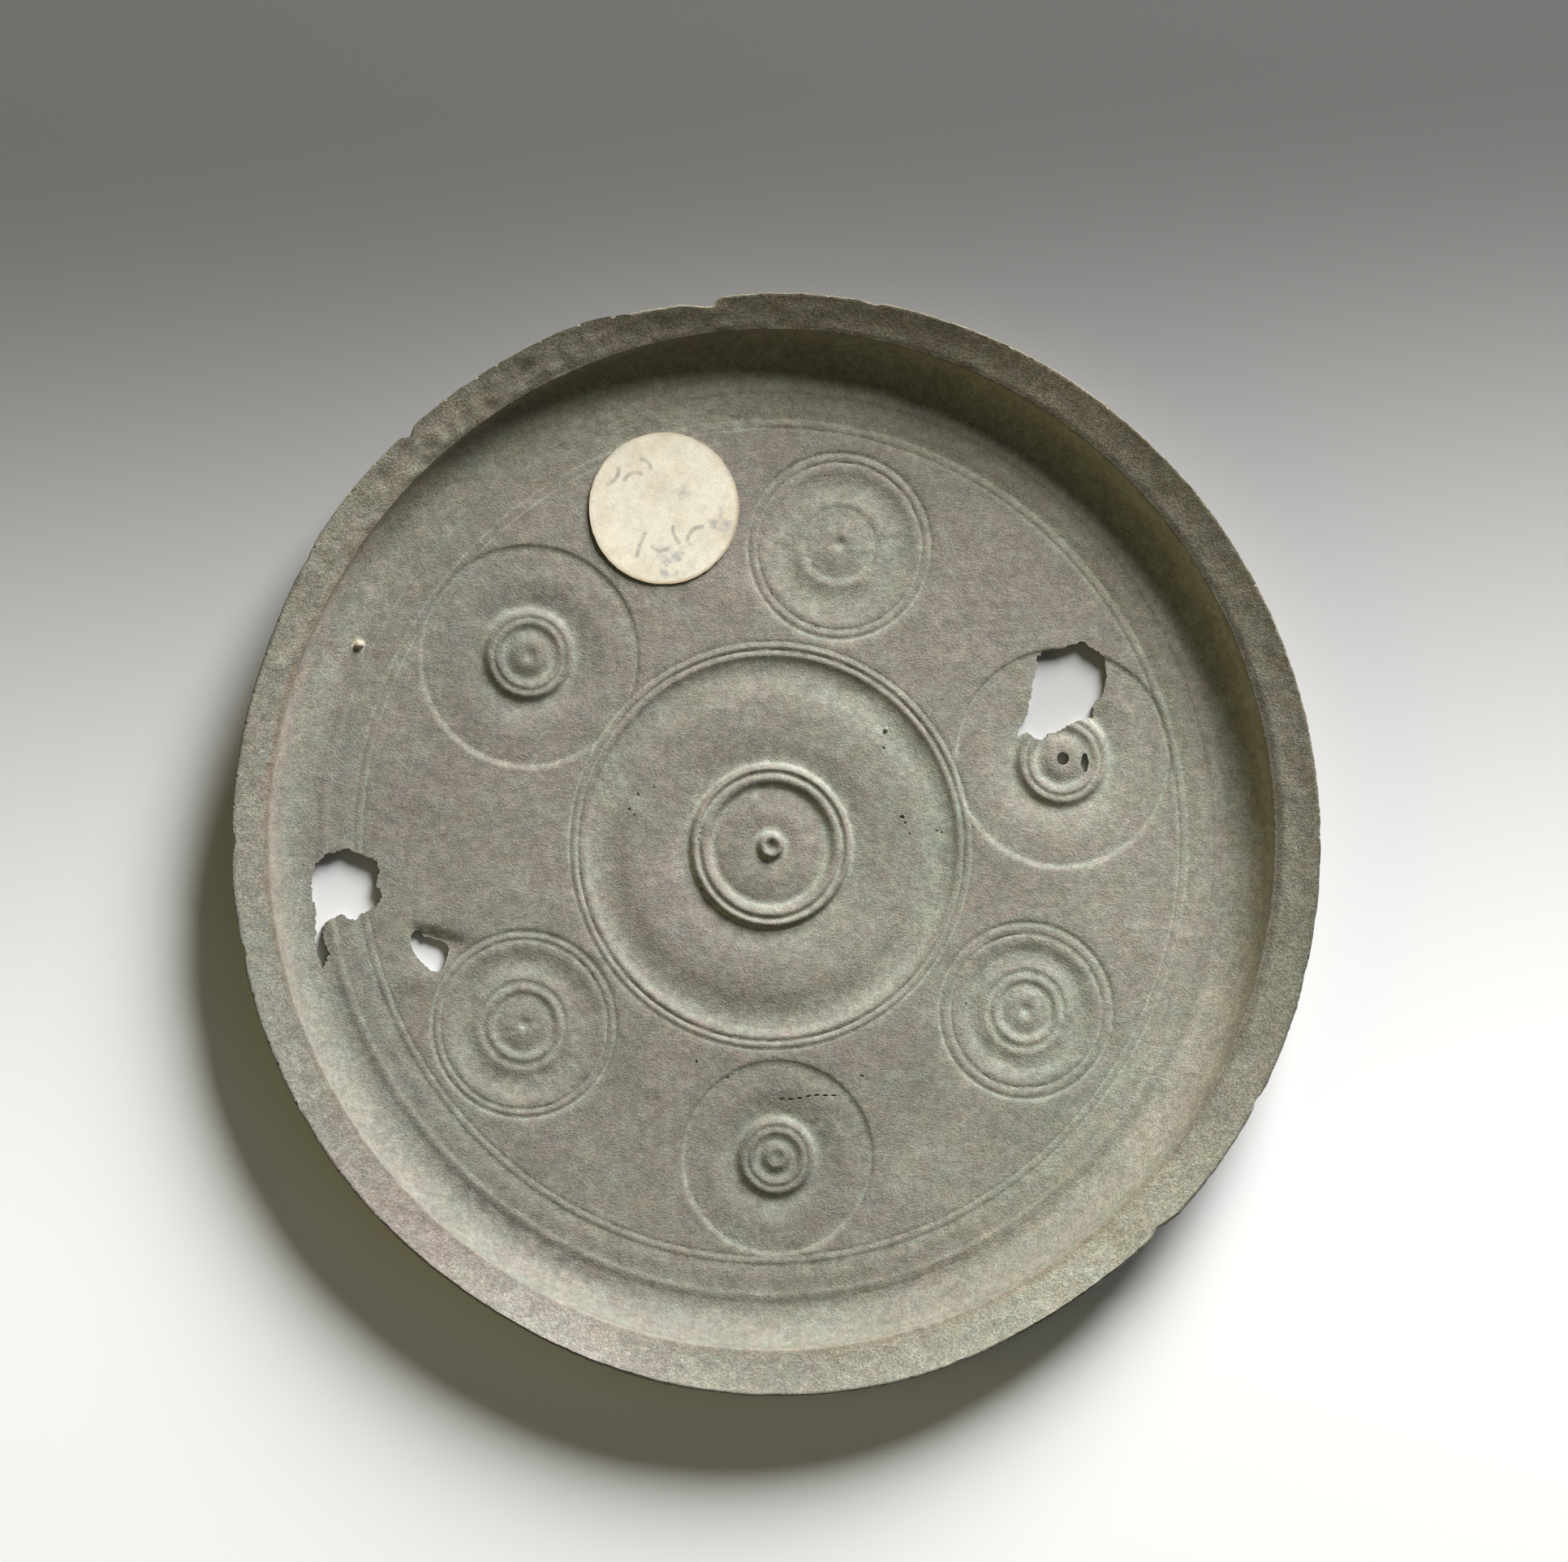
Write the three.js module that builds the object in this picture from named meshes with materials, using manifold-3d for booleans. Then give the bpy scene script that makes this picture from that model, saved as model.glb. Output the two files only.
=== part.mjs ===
// An ancient bronze mirror: a thin turned disc with an upturned rim, lying on its plain
// reflecting face, so that its decorated back looks up. A round paper sticker is glued to the back.
// Millimetres, +Z up, origin on the turning axis at the underside.
import * as THREE from "three";
import { mergeVertices } from "three/addons/utils/BufferGeometryUtils.js";
import Module from "manifold-3d";

const wasm = await Module();
wasm.setup();

// ---- Driving dimensions ----------------------------------------------------
const OUTER_RADIUS = 69;
const FOOT_RADIUS = 66.4; // the outer wall leans in by about 18 degrees on its way down
const FLOOR_TOP = 1.2; // the flat field of the back
const TROUGH_TOP = 0.85; // bottom of the shallow channel at the foot of the rim
const COVE_RADIUS = 5.3; // quarter-round that joins the channel to the rim
const RIM_WIDTH = 5.2;
const RIM_SLOPE = THREE.MathUtils.degToRad(19); // the rim's face falls inwards
const EDGE_WEAR = 0.5;

const RIM_INNER_RADIUS = OUTER_RADIUS - RIM_WIDTH;
const TROUGH_RADIUS = RIM_INNER_RADIUS - COVE_RADIUS;
const RIM_INNER_TOP = TROUGH_TOP + COVE_RADIUS;
const RIM_TOP = RIM_INNER_TOP + RIM_WIDTH * Math.tan(RIM_SLOPE);

// The inside was turned a little off the outer circle.
const RIM_OFFSET = new THREE.Vector2(-0.4, 0.6); // of the cove and the rim's inner edge
const BORDER_OFFSET = new THREE.Vector2(0.18, 0.2); // of the scribed border
const BORDER_RADIUS = 52.3;

const MEDALLION_CENTRE = new THREE.Vector2(0.1, -0.2);

// Six roundels stand round the medallion, and the two kinds take turns. Each is at its angle,
// at the length of its arm from the medallion's centre.
const PLAIN = "plain"; // one step down round a smooth field, and a raised boss
const RINGED = "ringed"; // a double scribed circle round a channel, and a raised ring
const ROUNDELS = [
  { kind: PLAIN, angle: 16.4, arm: 38.7, radius: 13.8, boss: 5.9, hole: 0.75 },
  { kind: RINGED, angle: 76.9, arm: 38.5, radius: 11.6, boss: 5.4 },
  { kind: PLAIN, angle: 142.2, arm: 38.7, radius: 14, boss: 5.7 },
  { kind: RINGED, angle: 215.5, arm: 38.5, radius: 11.6, boss: 5.8 },
  { kind: PLAIN, angle: 271.2, arm: 39, radius: 12.2, boss: 5 },
  { kind: RINGED, angle: 327.5, arm: 38.5, radius: 11, boss: 5.4 },
];

const STICKER_RADIUS = 9.5;
const STICKER_THICKNESS = 0.3;
const STICKER_CENTRE = new THREE.Vector2(-13.5, 42.05);
const STICKER_GAP = 0.3;

const DISH_STEPS = 84; // facets round the rim
const MEDALLION_STEPS = 56;
const ROUNDEL_STEPS = 28;
const STICKER_STEPS = 40;

// ---- Solids ----------------------------------------------------------------
function solidOf(geometry) {
  const bare = geometry.clone();
  bare.deleteAttribute("normal");
  bare.deleteAttribute("uv");
  const merged = mergeVertices(bare, 1e-4);
  const corners = merged.index.array;
  const triVerts = [];
  for (let i = 0; i < corners.length; i += 3) {
    const [a, b, c] = corners.slice(i, i + 3);
    // A lathe's triangles at its axis have no area, and are left out.
    if (a !== b && b !== c && c !== a) triVerts.push(a, b, c);
  }
  return new wasm.Manifold(
    new wasm.Mesh({
      numProp: 3,
      vertProperties: merged.attributes.position.array,
      triVerts: new Uint32Array(triVerts),
    }),
  );
}

function geometryOf(solid) {
  const mesh = solid.getMesh();
  const geometry = new THREE.BufferGeometry();
  geometry.setAttribute("position", new THREE.BufferAttribute(mesh.vertProperties, 3));
  geometry.setIndex(new THREE.BufferAttribute(mesh.triVerts, 1));
  geometry.computeVertexNormals();
  return geometry;
}

// A profile is a list of [radius, height], from the bottom of the axis round to its top.
function turned(profile, steps, centre = new THREE.Vector2()) {
  const points = profile.map(([radius, height]) => new THREE.Vector2(radius, height));
  const geometry = new THREE.LatheGeometry(points, steps);
  geometry.rotateX(Math.PI / 2);
  geometry.translate(centre.x, centre.y, 0);
  return geometry;
}

function prism(outline, bottom, top) {
  const shape = new THREE.Shape(outline);
  const geometry = new THREE.ExtrudeGeometry(shape, { depth: top - bottom, bevelEnabled: false });
  geometry.translate(0, 0, bottom);
  return geometry;
}

// ---- The dish: floor, channel, cove and rim --------------------------------
const smooth = THREE.MathUtils.smoothstep;

function bump(angle, centre, halfWidth) {
  const away = ((angle - centre + 540) % 360) - 180;
  return Math.exp(-((away / halfWidth) ** 2));
}

// The rim's edge swells at the upper left, and is worn flat beside the swelling and lower down.
function edgeWear(angle) {
  const turn = (angle + 360) % 360;
  const start = smooth(turn, 104, 111);
  const swelling = 0.65 * start * (1 - smooth(turn, 142, 160));
  const shoulder = 0.15 * start * (1 - smooth(turn, 195, 225));
  const flats = 0.25 * bump(turn, 101, 4) + 0.45 * bump(turn, 238, 14) + 0.5 * bump(turn, 304, 13);
  return swelling + shoulder - flats;
}

function offsetAt(radius) {
  const inwards = BORDER_OFFSET.clone();
  inwards.lerp(RIM_OFFSET, smooth(radius, BORDER_RADIUS + 2, TROUGH_RADIUS));
  return inwards.multiplyScalar(1 - smooth(radius, RIM_INNER_RADIUS, OUTER_RADIUS - EDGE_WEAR));
}

// Each circle is moved to its own centre, and the outer ones take up the wear of the edge.
function wearDish(geometry) {
  const position = geometry.attributes.position;
  for (let i = 0; i < position.count; i += 1) {
    const point = new THREE.Vector3().fromBufferAttribute(position, i);
    const radius = Math.hypot(point.x, point.y);
    const angle = THREE.MathUtils.radToDeg(Math.atan2(point.y, point.x));
    const upwards = smooth(point.z, 0, RIM_TOP);
    const outwards = smooth(radius, RIM_INNER_RADIUS, OUTER_RADIUS);
    const stretch = radius > 0 ? 1 + (edgeWear(angle) * upwards * outwards) / radius : 1;
    const offset = point.z > TROUGH_TOP / 2 ? offsetAt(radius) : new THREE.Vector2();
    position.setXY(i, point.x * stretch + offset.x, point.y * stretch + offset.y);
  }
  return geometry;
}

function coveProfile(steps) {
  const profile = [];
  for (let i = 0; i <= steps; i += 1) {
    const turn = (i / steps) * (Math.PI / 2);
    const radius = TROUGH_RADIUS + COVE_RADIUS * Math.cos(turn);
    profile.push([radius, RIM_INNER_TOP - COVE_RADIUS * Math.sin(turn)]);
  }
  return profile;
}

function makeDish() {
  const scribed = [
    [BORDER_RADIUS + 0.8, FLOOR_TOP],
    [BORDER_RADIUS + 0.2, FLOOR_TOP - 0.16],
    [BORDER_RADIUS - 0.4, FLOOR_TOP + 0.06],
    [BORDER_RADIUS - 1, FLOOR_TOP],
  ];
  const profile = [
    [0, 0],
    [FOOT_RADIUS - 1, 0],
    [FOOT_RADIUS, 0.7],
    [OUTER_RADIUS - 0.1, RIM_TOP - 0.9],
    [OUTER_RADIUS, RIM_TOP - EDGE_WEAR],
    [OUTER_RADIUS - EDGE_WEAR, RIM_TOP],
    ...coveProfile(6),
    [TROUGH_RADIUS - 1.3, TROUGH_TOP + 0.12],
    [TROUGH_RADIUS - 4.2, FLOOR_TOP + 0.1],
    ...scribed,
    [0, FLOOR_TOP],
  ];
  return solidOf(wearDish(turned(profile, DISH_STEPS)));
}

// ---- Turned relief ---------------------------------------------------------
// A relief is a list of [radius, height over the floor], from its middle to its outline.
function medallionRelief() {
  const ring = 9.1; // the raised ring round the boss
  const field = 24.9; // the double circle that closes the medallion
  return [
    [0, 0.15],
    [0.5, 0.2],
    [1.2, 0.6],
    [2.6, 0.02],
    [4.2, 0.08],
    [ring - 2, -0.2],
    [ring - 0.8, 0.34],
    [ring, 0.16],
    [ring + 0.6, 0.3],
    [ring + 1.6, -0.34],
    [ring + 4.5, -0.06],
    [ring + 7.9, 0.06],
    [field - 6, -0.14],
    [field - 3.3, -0.5],
    [field - 1.4, -0.2],
    [field - 0.5, -0.14],
    [field, 0.04],
    [field + 0.4, -0.12],
    [field + 0.9, 0],
  ];
}

function plainRelief({ radius, boss }) {
  return [
    [0, -0.28],
    [1.2, -0.05],
    [boss - 2.7, -0.36],
    [boss - 1.8, -0.06],
    [boss - 1.3, -0.2],
    [boss - 0.8, -0.08],
    [boss + 0.2, -0.55],
    [(boss + radius) / 2, -0.16],
    [radius - 0.6, -0.3],
    [radius, 0],
  ];
}

function ringedRelief({ radius, boss }) {
  return [
    [0, -0.3],
    [1.2, -0.08],
    [boss - 2.1, -0.34],
    [boss - 1.2, -0.12],
    [boss - 0.6, -0.24],
    [boss, -0.14],
    [boss + 1.7, -0.4],
    [radius - 1.9, -0.1],
    [radius - 1, -0.2],
    [radius - 0.5, -0.06],
    [radius, -0.2],
    [radius + 0.6, 0],
  ];
}

const RELIEFS = { [PLAIN]: plainRelief, [RINGED]: ringedRelief };

// The ground is turned away under the relief, and the relief is set in its place.
function turnRelief(dish, relief, centre, steps) {
  const depth = 0.6;
  const sink = FLOOR_TOP - 0.85; // below the deepest relief, and above the underside
  const joint = 0.03; // the relief reaches this far into the metal round it
  const outline = relief.at(-1)[0];
  const pocket = [
    [0, sink + 0.1],
    [outline, sink + 0.1],
    [outline, FLOOR_TOP + depth],
    [0, FLOOR_TOP + depth],
  ];
  const face = relief.map(([radius, height]) => [radius, FLOOR_TOP + height]);
  const [edgeRadius, edgeHeight] = face.pop();
  const insert = [
    [0, sink],
    [edgeRadius + joint, sink],
    [edgeRadius + joint, edgeHeight - joint],
    ...face.reverse(),
  ];
  const cut = dish.subtract(solidOf(turned(pocket, steps, centre)));
  return cut.add(solidOf(turned(insert, steps, centre)));
}

function roundelCentre({ angle, arm }) {
  const turn = THREE.MathUtils.degToRad(angle);
  const outwards = new THREE.Vector2(Math.cos(turn), Math.sin(turn));
  return outwards.multiplyScalar(arm).add(MEDALLION_CENTRE);
}

function addRelief(dish) {
  let carved = dish;
  for (const roundel of ROUNDELS) {
    const relief = RELIEFS[roundel.kind](roundel);
    carved = turnRelief(carved, relief, roundelCentre(roundel), ROUNDEL_STEPS);
  }
  return turnRelief(carved, medallionRelief(), MEDALLION_CENTRE, MEDALLION_STEPS);
}

// ---- Losses: holes eaten through the floor, and chips in the rim -----------
const TOOTH = 0.28; // how far the eaten edges stray from their run

// Every edge of an outline is broken once, by a small tooth to one side or the other.
function eaten(corners) {
  const outline = [];
  corners.forEach(([x, y], i) => {
    const from = new THREE.Vector2(x, y);
    const to = new THREE.Vector2(...corners[(i + 1) % corners.length]);
    const run = to.clone().sub(from);
    const side = new THREE.Vector2(-run.y, run.x).normalize();
    const stray = TOOTH * Math.sin(7.3 * i + x);
    outline.push(from, from.clone().addScaledVector(run, 0.5).addScaledVector(side, stray));
  });
  return outline;
}

const LEFT_HOLE = [
  [-57.6, -2.6],
  [-56.3, -1.3],
  [-53.8, -0.6],
  [-50.7, -1.7],
  [-49.5, -3.9],
  [-49.3, -6.9],
  [-50.5, -8.3],
  [-52.2, -9.3],
  [-54, -8.7],
  [-55.8, -9.3],
  [-56.6, -11.5],
  [-55.7, -13.7],
  [-56.5, -15.5],
  [-57.5, -12.7],
  [-57.4, -8.1],
];

const SMALL_HOLE = [
  [-45.3, -11.6],
  [-44, -10.7],
  [-42.1, -12],
  [-40.7, -12.9],
  [-41.2, -15.1],
  [-42.5, -15.8],
  [-44.2, -14.4],
];

const ROUNDEL_HOLE = [
  [34.2, 23.6],
  [38.3, 24.7],
  [39.6, 25.4],
  [42.5, 23.5],
  [42.7, 20.3],
  [41.1, 17.5],
  [41.1, 15.8],
  [38.2, 15.1],
  [35.2, 13.4],
  [31.8, 13.6],
  [33.2, 17.9],
];

const SLIT = [
  [39.7, 9],
  [40.5, 9.3],
  [40.5, 11.2],
  [39.8, 11.3],
];

const CHIPS = [
  { angle: 97.6, width: 4.4, depth: 1.2 },
  { angle: 132.5, width: 1.6, depth: 1.3 },
  { angle: 179.5, width: 2.4, depth: 0.7 },
  { angle: 191, width: 3, depth: 0.6 },
  { angle: 315, width: 3.6, depth: 0.6 },
  { angle: 332, width: 2.2, depth: 0.5 },
];

function chipPrism({ angle, width, depth }) {
  const outside = OUTER_RADIUS + 2;
  const outline = [
    new THREE.Vector2(outside, -width / 2),
    new THREE.Vector2(outside, width * 0.9),
    new THREE.Vector2(OUTER_RADIUS - depth * 0.7, width * 0.25),
    new THREE.Vector2(OUTER_RADIUS - depth, -width * 0.2),
  ];
  const turn = THREE.MathUtils.degToRad(angle);
  return prism(outline, RIM_TOP - 4, RIM_TOP + 1).rotateZ(turn);
}

function takeLosses(dish) {
  const below = -1;
  const above = RIM_TOP;
  const pin = ROUNDELS[0];
  const pinhole = [
    [0, below],
    [pin.hole, below],
    [pin.hole, above],
    [0, above],
  ];
  const losses = [
    prism(eaten(LEFT_HOLE), below, above),
    prism(eaten(SMALL_HOLE), below, above),
    prism(eaten(ROUNDEL_HOLE), below, above),
    prism(eaten(SLIT), below, above),
    turned(pinhole, 10, roundelCentre(pin)),
    ...CHIPS.map(chipPrism),
  ];
  return losses.reduce((worn, loss) => worn.subtract(solidOf(loss)), dish);
}

// ---- The object ------------------------------------------------------------
function makeSticker() {
  const half = STICKER_THICKNESS / 2;
  const profile = [
    [0, -half],
    [STICKER_RADIUS, -half],
    [STICKER_RADIUS, half],
    [0, half],
  ];
  return geometryOf(solidOf(turned(profile, STICKER_STEPS)));
}

const bronze = new THREE.MeshStandardMaterial({ color: 0x8a8576, roughness: 0.8, metalness: 0.35 });
const card = new THREE.MeshStandardMaterial({ color: 0xe6dcc2, roughness: 0.95, metalness: 0 });

const mirror = new THREE.Mesh(geometryOf(takeLosses(addRelief(makeDish()))), bronze);
mirror.name = "bronze_mirror";

const sticker = new THREE.Mesh(makeSticker(), card);
sticker.name = "paper_sticker";
const stickerHeight = FLOOR_TOP + 0.1 + STICKER_GAP + STICKER_THICKNESS / 2;
sticker.position.set(STICKER_CENTRE.x, STICKER_CENTRE.y, stickerHeight);

const object = new THREE.Group();
object.add(mirror, sticker);

export default object;
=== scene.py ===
"""An ancient bronze mirror that lies on its plain reflecting face, its turned and eaten back up.

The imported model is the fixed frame. One finely turned piece stands for the mirror's solid, and one
paper piece for the sticker's. Sizes are millimetres here, and become metres as a mesh is made.
"""

import math

import bpy
import numpy as np
from mathutils import Matrix, Vector
from mathutils.geometry import delaunay_2d_cdt


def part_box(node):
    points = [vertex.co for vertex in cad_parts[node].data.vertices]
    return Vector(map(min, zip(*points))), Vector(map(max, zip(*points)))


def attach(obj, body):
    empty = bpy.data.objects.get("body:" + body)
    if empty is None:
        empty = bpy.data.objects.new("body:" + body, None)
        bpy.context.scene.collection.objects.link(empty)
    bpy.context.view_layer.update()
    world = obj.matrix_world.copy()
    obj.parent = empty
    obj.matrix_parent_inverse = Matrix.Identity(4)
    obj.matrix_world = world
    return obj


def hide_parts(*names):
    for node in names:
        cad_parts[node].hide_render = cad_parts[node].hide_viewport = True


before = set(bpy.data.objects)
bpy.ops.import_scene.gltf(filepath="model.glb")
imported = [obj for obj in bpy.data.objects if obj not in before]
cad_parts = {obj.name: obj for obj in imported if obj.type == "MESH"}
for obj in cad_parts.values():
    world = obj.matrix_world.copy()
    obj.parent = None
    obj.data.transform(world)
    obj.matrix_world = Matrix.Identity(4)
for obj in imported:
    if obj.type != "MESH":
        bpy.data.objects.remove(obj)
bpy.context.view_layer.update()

MM = 0.001
SHARP_ANGLE = math.radians(48)  # edges sharper than this are not shaded smooth

# ---- The dish --------------------------------------------------------
OUTER_RADIUS = 69.0
FOOT_RADIUS = 66.4
FLOOR_TOP = 1.2
TROUGH_TOP = 1.16
TROUGH_RADIUS = 57.9
RIM_WIDTH = 5.2
RIM_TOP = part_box("bronze_mirror")[1].z / MM
RIM_INNER = OUTER_RADIUS - RIM_WIDTH
RIM_INNER_TOP = 6.1
RIM_OFFSET = np.array([-0.4, 0.6])
BORDER_OFFSET = np.array([0.18, 0.2])

# The scribed border and the channel outside it, as [radius, height over the floor].
BORDER = [
    [50.9, 0], [51.5, 0], [51.85, -0.06], [52.4, 0.05], [52.95, -0.07], [53.2, -0.06], [54.4, 0.05],
    [55.8, 0.03], [56.2, 0.04], [56.65, 0.12], [56.95, 0.1], [57.25, 0.05], [57.6, -0.01],
    [TROUGH_RADIUS, TROUGH_TOP - FLOOR_TOP],
]

# ---- The turned ornament, as [radius, height over the floor] ---------
MEDALLION_CENTRE = np.array([0.1, -0.2])
MEDALLION = [
    [0, 0.1], [0.3, 0.14], [0.75, 0.5], [1.05, 0.66], [1.3, 0.6], [1.75, 0.1], [2.1, -0.04],
    [3.2, 0.04], [4.1, 0.1], [5.2, 0.02], [6.5, -0.12], [7.2, -0.24], [7.5, -0.16], [8.1, 0.26],
    [8.4, 0.36], [8.7, 0.34], [9.05, 0.12], [9.25, 0.12], [9.6, 0.32], [9.8, 0.34],
    [10.1, 0.1], [10.5, -0.34], [11, -0.34], [12.2, -0.2], [14, 0], [16.5, 0.07], [18.2, 0],
    [20.2, -0.34], [21.7, -0.5], [22.9, -0.38], [23.5, -0.16], [23.95, 0.04], [24.2, 0],
    [24.5, -0.13], [24.95, 0.08], [25.2, 0.06], [25.5, -0.1], [25.9, 0],
]


def plain_relief(radius, boss):
    """One step down round a smooth field, and a raised boss with a ringed top."""
    field = (boss + radius) / 2
    return [
        [0, -0.1], [0.3, -0.08], [0.85, 0.07], [1.2, 0.1], [boss / 2 - 1.15, 0.06],
        [boss - 2.85, -0.26], [boss - 2.55, -0.27], [boss - 1.85, -0.01], [boss - 1.65, 0.02],
        [boss - 1.25, -0.1], [boss - 1.05, -0.1], [boss - 0.75, -0.01], [boss - 0.55, -0.03],
        [boss - 0.3, -0.16], [boss, -0.4], [boss + 0.3, -0.53], [boss + 0.6, -0.55],
        [boss + 1.8, -0.38], [field, -0.14], [radius - 1.8, -0.17], [radius - 0.3, -0.22],
        [radius - 0.02, -0.07], [radius + 0.15, -0.01], [radius + 0.4, 0],
    ]


def ringed_relief(radius, boss, between=1.0):
    """Two scribed circles round a channel, and a ringed middle with a small swell."""
    inner = radius - between
    return [
        [0, -0.34], [0.3, -0.32], [0.85, -0.14], [1.3, -0.1], [1.7, -0.12], [boss - 2.2, -0.36],
        [boss - 1.6, -0.14], [boss - 1.35, -0.12], [boss - 0.85, -0.26], [boss - 0.5, -0.27],
        [boss - 0.1, -0.18], [boss + 0.15, -0.2], [boss + 0.9, -0.35], [boss + 1.8, -0.42],
        [inner - 1.8, -0.3], [inner - 0.7, -0.1], [inner - 0.25, -0.12], [inner, -0.22],
        [inner + 0.25, -0.1], [radius - 0.5, -0.06], [radius - 0.25, -0.11], [radius, -0.19],
        [radius + 0.4, -0.05], [radius + 0.7, 0],
    ]


def worn_relief(radius, boss, between):
    """A ringed roundel whose middle is rubbed down to one low swell."""
    middle = [
        [0, -0.32], [0.3, -0.3], [0.85, -0.12], [1.3, -0.06], [2.1, -0.1], [boss - 1.7, -0.25],
        [boss - 0.95, -0.3], [boss - 0.35, -0.2], [boss, -0.21], [boss + 0.9, -0.36],
    ]
    return middle + [point for point in ringed_relief(radius, boss, between) if point[0] > boss + 1]


# Angle round the medallion, arm from its centre, how far the outline strays, and the relief.
ROUNDELS = [
    (16.4, 38.73, (0, 0), plain_relief(13.85, 5.9)),
    (77.0, 38.77, (0, -0.3), worn_relief(11.6, 5.4, 1.12)),
    (142.0, 38.86, (0, -0.27), plain_relief(14, 5.7)),
    (215.4, 38.42, (0, -0.1), ringed_relief(11.6, 5.8)),
    (271.1, 38.98, (0.08, -0.08), plain_relief(12.25, 4.95)),
    (327.6, 38.45, (0, -0.1), ringed_relief(11, 5.4, 1.35)),
]

# ---- Losses ----------------------------------------------------------
LEFT_HOLE = [
    [-57.6, -2.6], [-56.3, -1.4], [-53.8, -0.6], [-52.2, -1.1], [-50.7, -1.7], [-49.7, -2.4],
    [-49.6, -3.9], [-49.9, -5.1], [-49.2, -6.1], [-49.4, -6.9], [-50.3, -7.9], [-52, -8.8],
    [-52.2, -9.3], [-53.5, -9.3], [-54, -8.6], [-55.8, -9.3], [-56.6, -10.7], [-56.5, -12.1],
    [-55.7, -13.6], [-56.6, -15.4], [-57.4, -13.7], [-57.5, -11.1], [-57.4, -8.1], [-57.9, -6.2],
    [-58, -4.4],
]
SMALL_HOLE = [
    [-45.4, -11.4], [-44.9, -10.8], [-44.3, -10.8], [-43.7, -11.6], [-42.1, -12],
    [-41.1, -12.4], [-40.7, -13], [-41.3, -15.1], [-41.9, -15.8], [-43, -15.6],
    [-44.2, -14.4], [-45.1, -13.3], [-45.4, -12.3],
]
ROUNDEL_HOLE = [
    [34.2, 23.5], [35, 24.1], [38.4, 24.8], [39.5, 25.5], [40.2, 25], [42.5, 23.5],
    [42.8, 21.7], [42.5, 20], [42.1, 18.4], [41.1, 17.6], [41.1, 15.9], [39.4, 15.7],
    [38.2, 15.1], [36.6, 14.1], [35.6, 13.9], [34.8, 13.2], [33.6, 13.6], [32.8, 14.1],
    [31.7, 13.6], [31.9, 14.9], [33, 16.5], [33.2, 18], [33.6, 20], [34, 21.9],
]
SLIT = [[39.7, 9], [40.4, 9.2], [40.6, 10.3], [40.4, 11.2], [39.9, 11.4], [39.6, 10.3]]
PINHOLE_RADIUS = 0.74


def roundel_centre(angle, arm):
    turn = math.radians(angle)
    return MEDALLION_CENTRE + arm * np.array([math.cos(turn), math.sin(turn)])


# ---- Small mathematics -----------------------------------------------
def smooth(value, low, high):
    t = np.clip((value - low) / (high - low), 0, 1)
    return t * t * (3 - 2 * t)


def noise(x, y, cell, seed):
    """A smooth random height of about -1 to 1, with lumps about one cell wide."""
    grid = np.random.default_rng(seed).standard_normal((256, 256)) * 0.6
    i, j = np.floor(x / cell).astype(int), np.floor(y / cell).astype(int)
    a, b = smooth(x / cell - i, 0, 1), smooth(y / cell - j, 0, 1)
    i, j, right, up = i % 256, j % 256, (i + 1) % 256, (j + 1) % 256
    low = grid[i, j] * (1 - a) + grid[right, j] * a
    high = grid[i, up] * (1 - a) + grid[right, up] * a
    return low * (1 - b) + high * b


def curve(points):
    """A function of radius: a smooth line through [radius, height] points that never overshoots."""
    radius, height = np.array(points, float).T
    step = np.diff(radius)
    slope = np.diff(height) / step
    product = slope[:-1] * slope[1:]
    total = np.where(product > 0, slope[:-1] + slope[1:], 1)
    tangent = np.concatenate([[0], np.where(product > 0, 2 * product / total, 0), [0]])

    def at(r):
        k = np.clip(np.searchsorted(radius, r) - 1, 0, len(step) - 1)
        t = np.clip((r - radius[k]) / step[k], 0, 1)
        rise = height[k] * (1 + 2 * t) * (1 - t) ** 2 + height[k + 1] * t * t * (3 - 2 * t)
        lean = tangent[k] * t * (1 - t) ** 2 - tangent[k + 1] * t * t * (1 - t)
        return rise + lean * step[k]

    return at


def rings_of(points, widest=0.55, short=0.32):
    """Radii that follow a relief: one to a short stretch, two or more to a long one."""
    radii = [points[0][0]]
    for (start, _), (end, _) in zip(points, points[1:]):
        count = 1 if end - start < short else max(2, math.ceil((end - start) / widest))
        radii += [start + (end - start) * k / count for k in range(1, count + 1)]
    return np.array(radii)


def hump(value, centre, half_width):
    """A soft swell of height 1 along a line."""
    return np.exp(-(((value - centre) / half_width) ** 2))


def spot(x, y, centre_x, centre_y, wide, tall=None):
    """A soft round or oval swell of height 1 on the plane."""
    return np.exp(-(((x - centre_x) / wide) ** 2) - (((y - centre_y) / (tall or wide)) ** 2))


def bump(angle, centre, half_width):
    """A soft swell of height 1 round a circle."""
    return hump((angle - centre + 180) % 360 - 180, 0, half_width)


def around(angle, *swells):
    """A sum of swells round a circle, each given as its angle, half-width and size."""
    return sum(size * bump(angle, centre, half_width) for centre, half_width, size in swells)


# ---- The height of the back ------------------------------------------
RELIEFS = [(MEDALLION_CENTRE, np.zeros(2), MEDALLION)]
for turn, arm, stray, points in ROUNDELS:
    RELIEFS.append((roundel_centre(turn, arm), np.array(stray), points))
RELIEF_CURVES = [(centre, stray, points[-1][0], curve(points)) for centre, stray, points in RELIEFS]
BORDER_CURVE = curve(BORDER)
DENT = np.array([-42.8, -13.2])
CORRODED = [(-20, -26, 9), (-42, 27, 8), (-12, 40, 12), (-44, 4, 7), (26, 30, 7)]  # x, y, reach
CRINKLES = [(-19, 52.6, 5, 1.5, 1), (-4, 53, 6.5, 1.5, 0.7)]  # x, y, width, height, strength
ROUGH_PATCH = (-16.8, 5.3)  # on the medallion, beside its boss


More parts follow.
